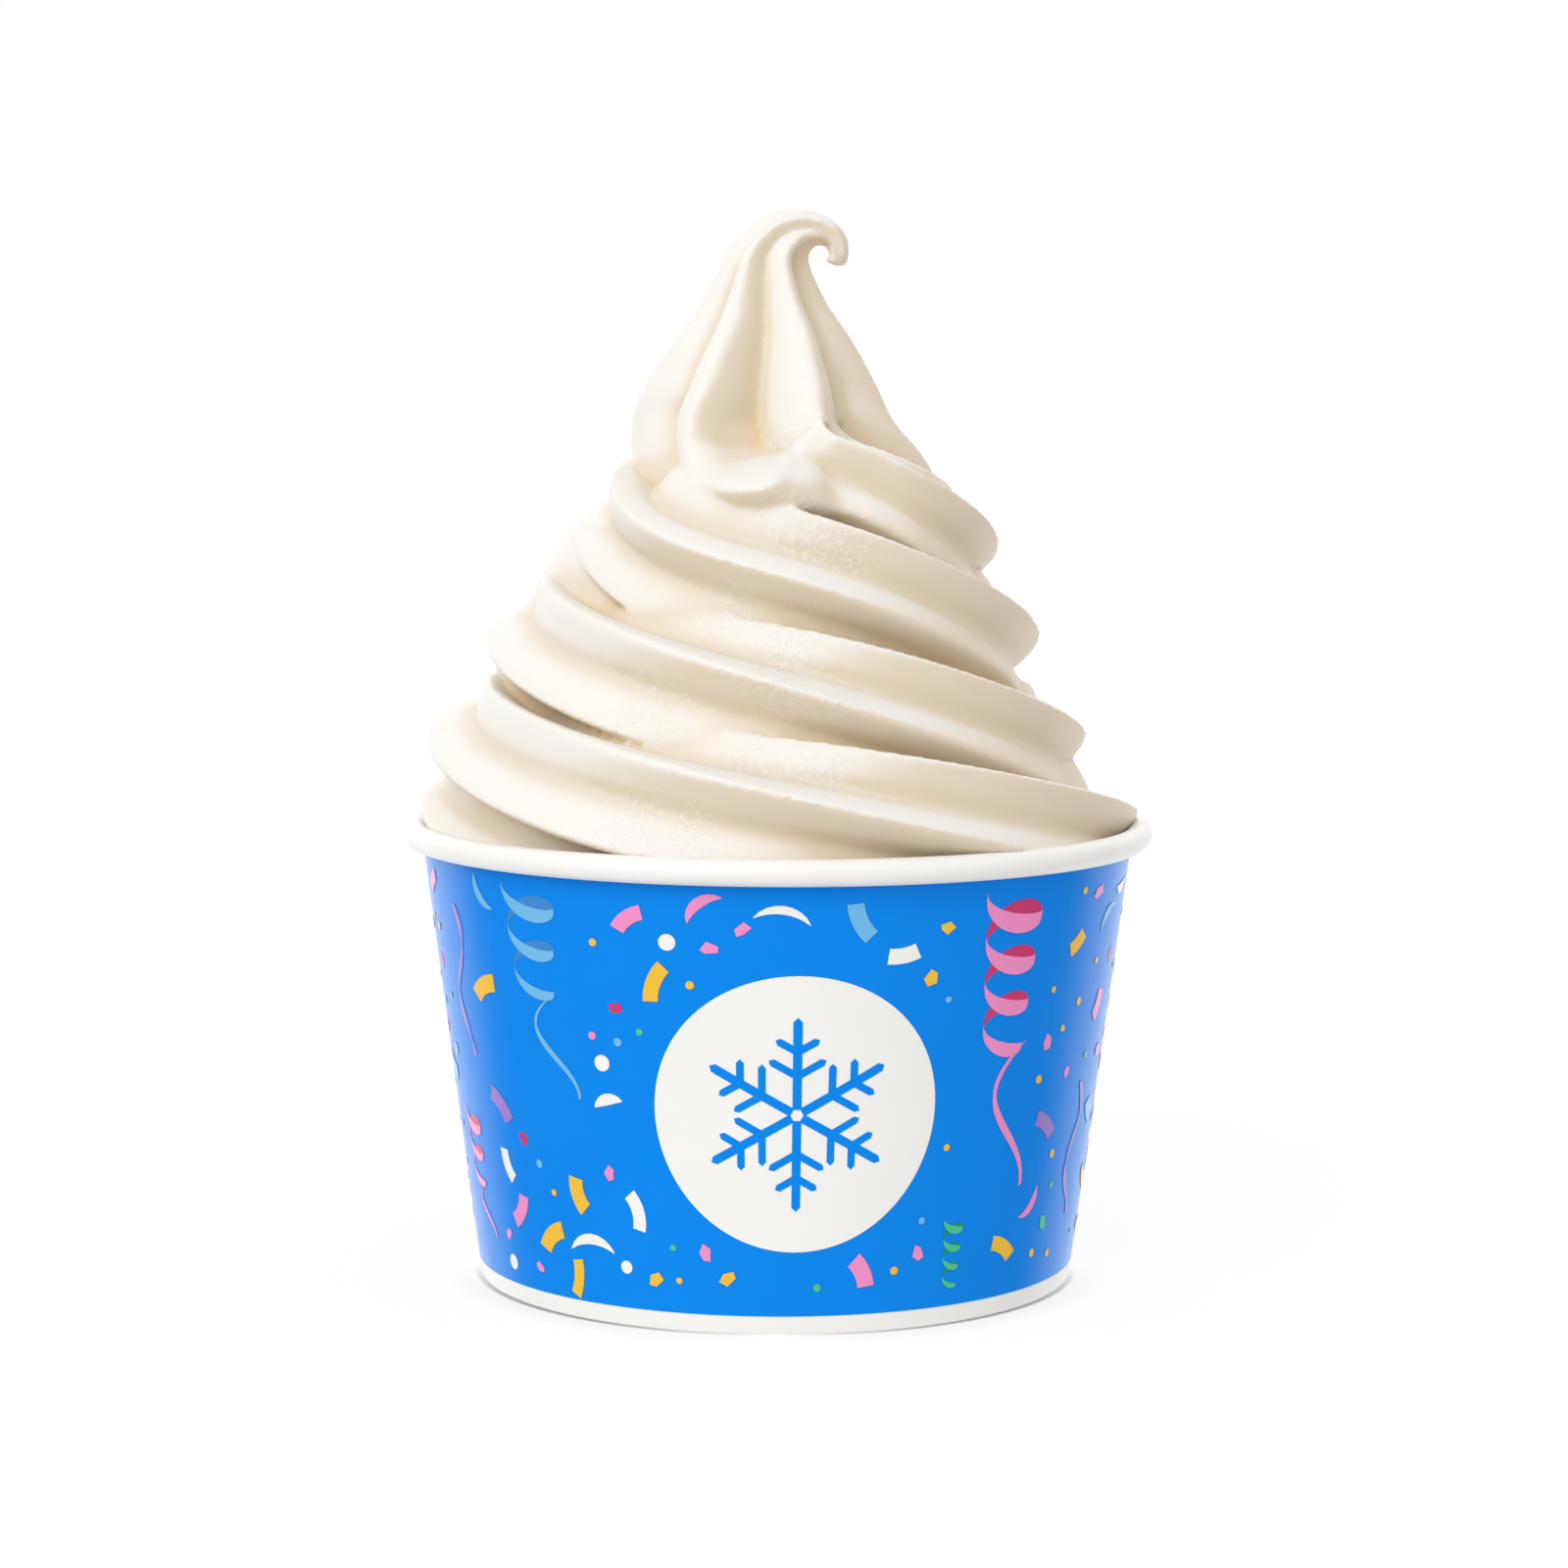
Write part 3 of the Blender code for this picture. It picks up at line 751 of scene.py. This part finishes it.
def lay_out_print():
    """Every printed shape by ink: streamers, waving slips, and confetti scattered between them."""
    draw = random.Random(SEED)
    inks = defaultdict(list)
    taken = []
    for degrees, top, turns, reach, pitch, sag, wide, tail, ink in STREAMERS:
        place = math.radians(degrees) * MID_RADIUS
        near, far = streamer(place, top, turns, reach, pitch, sag, wide, tail)
        inks[ink].extend(near)
        inks[FAR_INKS[ink]].extend(far)
        for height in np.arange(top - turns * pitch - tail, top + 2, STREAMER_HOLD):
            taken.append((place, height, reach + CLEAR))
    for degrees, middle, length, ink in WAVES:
        place = math.radians(degrees) * MID_RADIUS
        inks[ink].extend(wave_shapes(place, middle, length))
        for height in np.arange(middle - length / 2, middle + length / 2, WAVE_HOLD):
            taken.append((place, height, WAVE_CLEAR))
    disc = (DISC_ANGLE * MID_RADIUS, DISC_HEIGHT)
    taken.append((*disc, DISC_RADIUS + CLEAR))
    round_way = 2 * math.pi * MID_RADIUS

    def clearance(spot, need):
        """Room left round a spot once a scrap of this size lies on it."""
        return min(math.hypot((spot[0] - x + round_way / 2) % round_way - round_way / 2, spot[1] - y) - size
                   for x, y, size in taken) - need

    for _ in range(CONFETTI):
        kind = draw.choice(KINDS)
        need = SPACING / 2 * NEEDS[kind]
        spots = [(draw.uniform(-0.5, 0.5) * round_way,
                  draw.uniform(BAND_HEIGHT + LOW_CLEAR, PRINT_TOP - HIGH_CLEAR)) for _ in range(CHOICES)]
        spot = max(spots, key=lambda s: min(clearance(s, need), ROOMY))
        if clearance(spot, need) < 0:
            continue
        taken.append((*spot, need))
        inks[draw.choice(INKS[kind])].extend(confetti_shapes(draw, kind, spot))
    return inks, disc


def srgb(red, green, blue):
    """Linear colour from display values out of 255."""
    linear = [((v / 255 + 0.055) / 1.055) ** 2.4 if v > 10 else v / 255 / 12.92 for v in (red, green, blue)]
    return (*linear, 1)


COLOURS = {"blue": srgb(0, 139, 243), "white": srgb(249, 248, 245), "pink": srgb(248, 150, 205),
           "crimson": srgb(212, 62, 118), "yellow": srgb(250, 198, 62), "amber": srgb(226, 158, 40),
           "green": srgb(78, 202, 150), "pine": srgb(38, 150, 112), "sky": srgb(118, 192, 240),
           "haze": srgb(66, 142, 214), "violet": srgb(162, 134, 212)}
# Finish of each paper: shade between its mottles as a share, roughness, level of its gloss
WHITE_FINISH, BLUE_FINISH = (0.96, 0.42, 0.35), (0.93, 0.3, 0.12)
INK_FINISH, PLAIN_FINISH = (0.94, 0.3, 0.25), (0.95, 0.5, 0.3)

# Froyo: colours where lit, of the painted shade on its flanks and in its creases, of faint clouds and of
# ice
LIT_TONE, SHADED_FLANK_TONE = (0.905, 0.885, 0.845, 1), (0.775, 0.648, 0.48, 1)
SHADED_CREASE_TONE, CLOUD_TONE = (0.80, 0.585, 0.33, 1), (0.85, 0.79, 0.68, 1)
ICE_TONE = (0.97, 0.955, 0.925, 1)
CLOUD_SHARE = 0.25
ICE_GRAIN = (1250, 3, 0.6)  # scale, detail and roughness of the noise of ice crystals
ICE_FROM, ICE_TO, ICE_MOST = 0.5, 0.64, 0.4  # noise where specks start and are full, their strength
ICE_HEIGHT = 0.32  # heights of bumps are in millimetres
WAVY_HEIGHT, FINE_HEIGHT, SKIN_STRENGTH = 0.18, 0.07, 0.35


class Nodes:
    """Short way to build a node material."""

    def __init__(self, name):
        self.material = bpy.data.materials.new(name)
        self.material.use_nodes = True
        self.tree = self.material.node_tree
        self.shader = self.tree.nodes["Principled BSDF"]

    def add(self, kind, settings=None, **inputs):
        """Adds a node, sets its properties, and sets or links its inputs."""
        node = self.tree.nodes.new(kind)
        for key, value in (settings or {}).items():
            setattr(node, key, value)
        self.feed(node, inputs)
        return node

    def feed(self, node, inputs):
        """Sets a node's inputs or links sockets into them, by name or by number after n."""
        for key, value in inputs.items():
            socket = node.inputs[int(key[1:]) if key[1:].isdigit() else key.replace("_", " ")]
            if isinstance(value, bpy.types.NodeSocket):
                self.tree.links.new(value, socket)
            else:
                socket.default_value = value

    def set(self, **inputs):
        """Sets or links the shader's inputs."""
        self.feed(self.shader, inputs)

    def noise(self, scale, detail=3.0, roughness=0.5):
        """A noise value over the object's own coordinates; scale is in patches to a metre."""
        place = self.add("ShaderNodeTexCoord").outputs["Object"]
        return self.add("ShaderNodeTexNoise", Vector=place, Scale=scale, Detail=detail,
                        Roughness=roughness).outputs["Fac"]

    def stored(self, name):
        """A number stored on the mesh's vertices."""
        return self.add("ShaderNodeAttribute", {"attribute_name": name}).outputs["Fac"]

    def ranged(self, value, start, stop, low, high):
        """A value carried over from one range to another, and held inside it."""
        return self.add("ShaderNodeMapRange", Value=value, From_Min=start, From_Max=stop,
                        To_Min=low, To_Max=high).outputs["Result"]

    def mixed(self, share, first, second):
        """Two colours mixed by a share."""
        return self.add("ShaderNodeMix", {"data_type": "RGBA"}, n0=share, n6=first, n7=second).outputs[2]

    def times(self, first, second):
        """Product of two values."""
        return self.add("ShaderNodeMath", {"operation": "MULTIPLY"}, n0=first, n1=second).outputs[0]

    def bump(self, height, distance, strength=1.0, under=None):
        """A bump from a height value; distance is in millimetres."""
        node = self.add("ShaderNodeBump", Height=height, Distance=distance * MM, Strength=strength)
        if under is not None:
            self.feed(node, {"Normal": under})
        return node.outputs["Normal"]


def froyo_material():
    """Smooth, moist soft-serve: painted beige shade on flanks and in hollows, painted golden shade in
    creases, and grainy where ice shows.
    """
    m = Nodes("frozen_yogurt")
    # Painted shade: the lit colour is mixed to beige on flanks and in hollows, then to golden in creases
    painted_shade, crease, icy = m.stored("painted_shade"), m.stored("crease"), m.stored("icy")
    tone = m.mixed(crease, m.mixed(painted_shade, LIT_TONE, SHADED_FLANK_TONE), SHADED_CREASE_TONE)
    tone = m.mixed(CLOUD_SHARE, tone, m.mixed(m.noise(60, 4), tone, CLOUD_TONE))
    specks = m.ranged(m.noise(*ICE_GRAIN), ICE_FROM, ICE_TO, 0.0, ICE_MOST)
    m.set(Base_Color=m.mixed(m.times(specks, icy), tone, ICE_TONE),
          Roughness=m.ranged(m.noise(420, 4), 0, 1, 0.38, 0.58), Specular_IOR_Level=0.22,
          Subsurface_Weight=0.2, Subsurface_Scale=0.0012, Subsurface_Radius=(1.0, 0.62, 0.36))
    wavy = m.bump(m.noise(140, 3), WAVY_HEIGHT, SKIN_STRENGTH)
    fine = m.bump(m.noise(1100, 4, 0.6), FINE_HEIGHT, SKIN_STRENGTH, wavy)
    crystals = m.times(m.ranged(m.noise(*ICE_GRAIN), 0, 1, -0.5, 0.5), icy)
    m.set(Normal=m.bump(crystals, ICE_HEIGHT, 1.0, fine))
    return m.material


def paper_material(name, colour, share, roughness, level):
    """Coated paper: faint mottling, a little tooth, and a soft gloss."""
    m = Nodes(name)
    mottle = tuple(value * share for value in colour[:3]) + (1,)
    m.set(Base_Color=m.mixed(m.noise(90, 4), colour, mottle), Specular_IOR_Level=level,
          Roughness=m.ranged(m.noise(500, 3), 0, 1, roughness - 0.05, roughness + 0.07))
    fibre = m.bump(m.noise(2600, 4, 0.6), 0.02, 0.5)
    m.set(Normal=m.bump(m.noise(45, 2), 0.25, 0.12, fibre))
    return m.material


def dress(piece, material, node):
    """Gives a piece its material and its body, and hides the imported part of the node it stands for."""
    piece.data.materials.append(material)
    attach(piece, BODY)
    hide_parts(node)


def make_pieces():
    """Builds and dresses every piece."""
    froyo = froyo_material()
    dress(make_swirl(), froyo, "froyo")
    dress(make_fill(), froyo, "froyo")
    white = paper_material("white_paper", COLOURS["white"], *WHITE_FINISH)
    blue = paper_material("blue_print", COLOURS["blue"], *BLUE_FINISH)
    inks, disc = lay_out_print()
    papers = [(make_shell(), white), (make_sleeve(), blue)]
    for ink in sorted(inks):
        coloured = paper_material("ink_" + ink, COLOURS[ink], *INK_FINISH)
        papers.append((printed("print_" + ink, inks[ink], 1 if ink in FAR_INKS.values() else 2), coloured))
    papers.append((printed("print_disc", [around(disc, DISC_RADIUS, 96, DISC_SQUASH)], 1), white))
    papers.append((printed("print_flake", snowflake(disc, DISC_RADIUS * FLAKE_SHARE), 2), blue))
    for piece, material in papers:
        dress(piece, material, "cup_wall")
    plain = paper_material("plain_paper", COLOURS["white"], *PLAIN_FINISH)
    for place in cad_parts["cup_base"].material_slots:
        place.material = plain


# Light: sky at the horizon, overhead and below, with the heights where it fades, and the key lamp
HORIZON, OVERHEAD, BELOW = 0.73, 0.72, 0.79
OVERHEAD_FADE, BELOW_FADE = (0.13, 0.38), (-0.05, -0.25)
KEY_STRENGTH, KEY_SPREAD = 1.2, 40  # spread and the angles below are in degrees
KEY_LEFT, KEY_RISE = 28, 37  # from the front towards the left, and up
FLAG_REACH = 122.0  # degrees to each side of the front that gloss sees dark
BACK_GLOW = 1.8  # what gloss sees behind

# Floor, backdrop and screens
STAGE_REACH = 6.0  # metres from the cup to the edges of the floor and the backdrop
SCREEN_SHARE = 0.98  # the screens stand inside the backdrop, at this share of its radius
SCREEN_STEPS = 24
BLACK, WHITE = (0, 0, 0, 1), (1, 1, 1, 1)
FLOOR_GLOW = 0.93
FLOOR_DARK, FLOOR_PALE = (0.075, 0.075, 0.075, 1), (0.085, 0.085, 0.085, 1)
# Shade at the front corners of the foot: depth, then from and up to so many millimetres past the foot
WIDE_SHADE, CLOSE_SHADE = (0.13, 0.0, 6.0), (0.6, 0.5, 1.2)

# Camera at the photograph's viewing angle
CAMERA_PLACE = Vector((0.979, -583.624, 131.248)) * MM
CAMERA_DOWN = math.radians(5.663)
CAMERA_ROLL = math.radians(0.256)
CAMERA_LENS = 89.77  # on a square frame of the width below
FRAME_WIDTH = 36.0


def add_camera():
    """The camera that takes in the whole cup."""
    data = bpy.data.cameras.new("camera")
    data.lens = CAMERA_LENS
    data.sensor_width = FRAME_WIDTH
    data.clip_start = 0.01
    camera = new_object("camera", data)
    facing = Matrix.Rotation(math.pi / 2 - CAMERA_DOWN, 3, "X") @ Matrix.Rotation(CAMERA_ROLL, 3, "Z")
    camera.location = CAMERA_PLACE
    camera.rotation_euler = facing.to_euler()
    bpy.context.scene.camera = camera


def add_key():
    """The soft, distant key lamp."""
    data = bpy.data.lights.new("key", "SUN")
    data.energy = KEY_STRENGTH
    data.angle = math.radians(KEY_SPREAD)
    lamp = new_object("key", data)
    side, rise = math.radians(KEY_LEFT), math.radians(KEY_RISE)
    level = math.cos(rise)
    lamp.location = (-math.sin(side) * level, -math.cos(side) * level, math.sin(rise))
    lamp.rotation_euler = (-lamp.location).to_track_quat("-Z", "Y").to_euler()


def set_surround():
    """An even studio sky, a little brighter from below."""
    world = bpy.data.worlds.new("surround")
    bpy.context.scene.world = world
    world.use_nodes = True
    # Without this the sky would shine past the screens in reflections
    world.cycles.sampling_method = "NONE"
    tree = world.node_tree
    place = tree.nodes.new("ShaderNodeTexCoord")
    split = tree.nodes.new("ShaderNodeSeparateXYZ")
    tree.links.new(place.outputs["Generated"], split.inputs["Vector"])
    overhead, below = [tree.nodes.new("ShaderNodeMapRange") for _ in range(2)]
    for fade, (start, stop), glow in ((overhead, OVERHEAD_FADE, OVERHEAD), (below, BELOW_FADE, BELOW)):
        fade.interpolation_type = "SMOOTHSTEP"
        for key, value in (("From Min", start), ("From Max", stop), ("To Min", HORIZON), ("To Max", glow)):
            fade.inputs[key].default_value = value
        tree.links.new(split.outputs["Z"], fade.inputs["Value"])
    tree.links.new(overhead.outputs["Result"], below.inputs["To Min"])
    sky = tree.nodes["Background"]
    sky.inputs["Color"].default_value = WHITE
    tree.links.new(below.outputs["Result"], sky.inputs["Strength"])


def glow_material(name, glow):
    """A surface that gives off an even white glow, and that isn't treated as a lamp."""
    m = Nodes(name)
    m.material.cycles.emission_sampling = "NONE"
    m.set(Base_Color=BLACK, Specular_IOR_Level=0.0, Emission_Color=WHITE, Emission_Strength=glow)
    return m.material


def add_backdrop():
    """A white wall all round, seen by the camera and lighting nothing."""
    bm = bmesh.new()
    bmesh.ops.create_cone(bm, segments=64, radius1=STAGE_REACH, radius2=STAGE_REACH, depth=2 * STAGE_REACH)
    wall = finished(bm, "backdrop")
    wall.data.materials.append(glow_material("backdrop", 1.0))
    wall.visible_diffuse = wall.visible_glossy = False
    wall.visible_transmission = wall.visible_shadow = False


def add_screen(name, start, stop, glow):
    """A screen round part of the scene, seen in reflections only; it spans two angles from the front."""
    radius = STAGE_REACH * SCREEN_SHARE
    angles = np.radians(np.linspace(start, stop, SCREEN_STEPS + 1))
    points = [(radius * math.sin(a), -radius * math.cos(a), z) for z in (-radius, radius) for a in angles]
    above = SCREEN_STEPS + 1
    mesh = bpy.data.meshes.new(name)
    mesh.from_pydata(points, [], [(i, i + 1, i + above + 1, i + above) for i in range(SCREEN_STEPS)])
    mesh.materials.append(glow_material(name, glow))
    screen = new_object(name, mesh)
    screen.visible_camera = screen.visible_diffuse = False
    screen.visible_transmission = screen.visible_shadow = False


def floor_material():
    """A pale floor with its own glow, which is held back where the cup's foot shades it."""
    m = Nodes("floor")
    place = m.add("ShaderNodeTexCoord").outputs["Object"]
    split = m.add("ShaderNodeSeparateXYZ", Vector=place)
    away = m.add("ShaderNodeVectorMath", {"operation": "LENGTH"}, Vector=place).outputs["Value"]
    side = m.add("ShaderNodeMath", {"operation": "ABSOLUTE"}, n0=split.outputs["X"]).outputs[0]
    # Side times depth is greatest halfway between the front and the side of the foot
    corner = m.ranged(m.times(side, split.outputs["Y"]), 0.0, -0.5 * (FOOT_RADIUS * MM) ** 2, 0.0, 1.0)
    wide, close = [m.ranged(away, (FOOT_RADIUS + start) * MM, (FOOT_RADIUS + stop) * MM, depth, 0.0)
                   for depth, start, stop in (WIDE_SHADE, CLOSE_SHADE)]
    shade = m.times(corner, m.add("ShaderNodeMath", n0=wide, n1=close).outputs[0])
    m.set(Base_Color=m.mixed(m.noise(3), FLOOR_DARK, FLOOR_PALE), Roughness=0.9, Specular_IOR_Level=0.0,
          Emission_Color=WHITE, Emission_Strength=m.ranged(shade, 0, 1, FLOOR_GLOW, 0.0))
    return m.material


def set_stage():
    """Pale floor, soft studio light and a white surround."""
    mesh = bpy.data.meshes.new("floor")
    corners = [(x * STAGE_REACH, y * STAGE_REACH, 0) for x, y in ((-1, -1), (1, -1), (1, 1), (-1, 1))]
    mesh.from_pydata(corners, [], [(0, 1, 2, 3)])
    mesh.materials.append(floor_material())
    floor = new_object("floor", mesh)
    floor.visible_diffuse = floor.visible_glossy = False
    add_backdrop()
    add_screen("dark_front", -FLAG_REACH, FLAG_REACH, 0.0)
    add_screen("bright_back", FLAG_REACH, 360 - FLAG_REACH, BACK_GLOW)
    set_surround()
    add_key()
    bpy.context.scene.view_settings.view_transform = "Standard"


make_pieces()
add_camera()
set_stage()
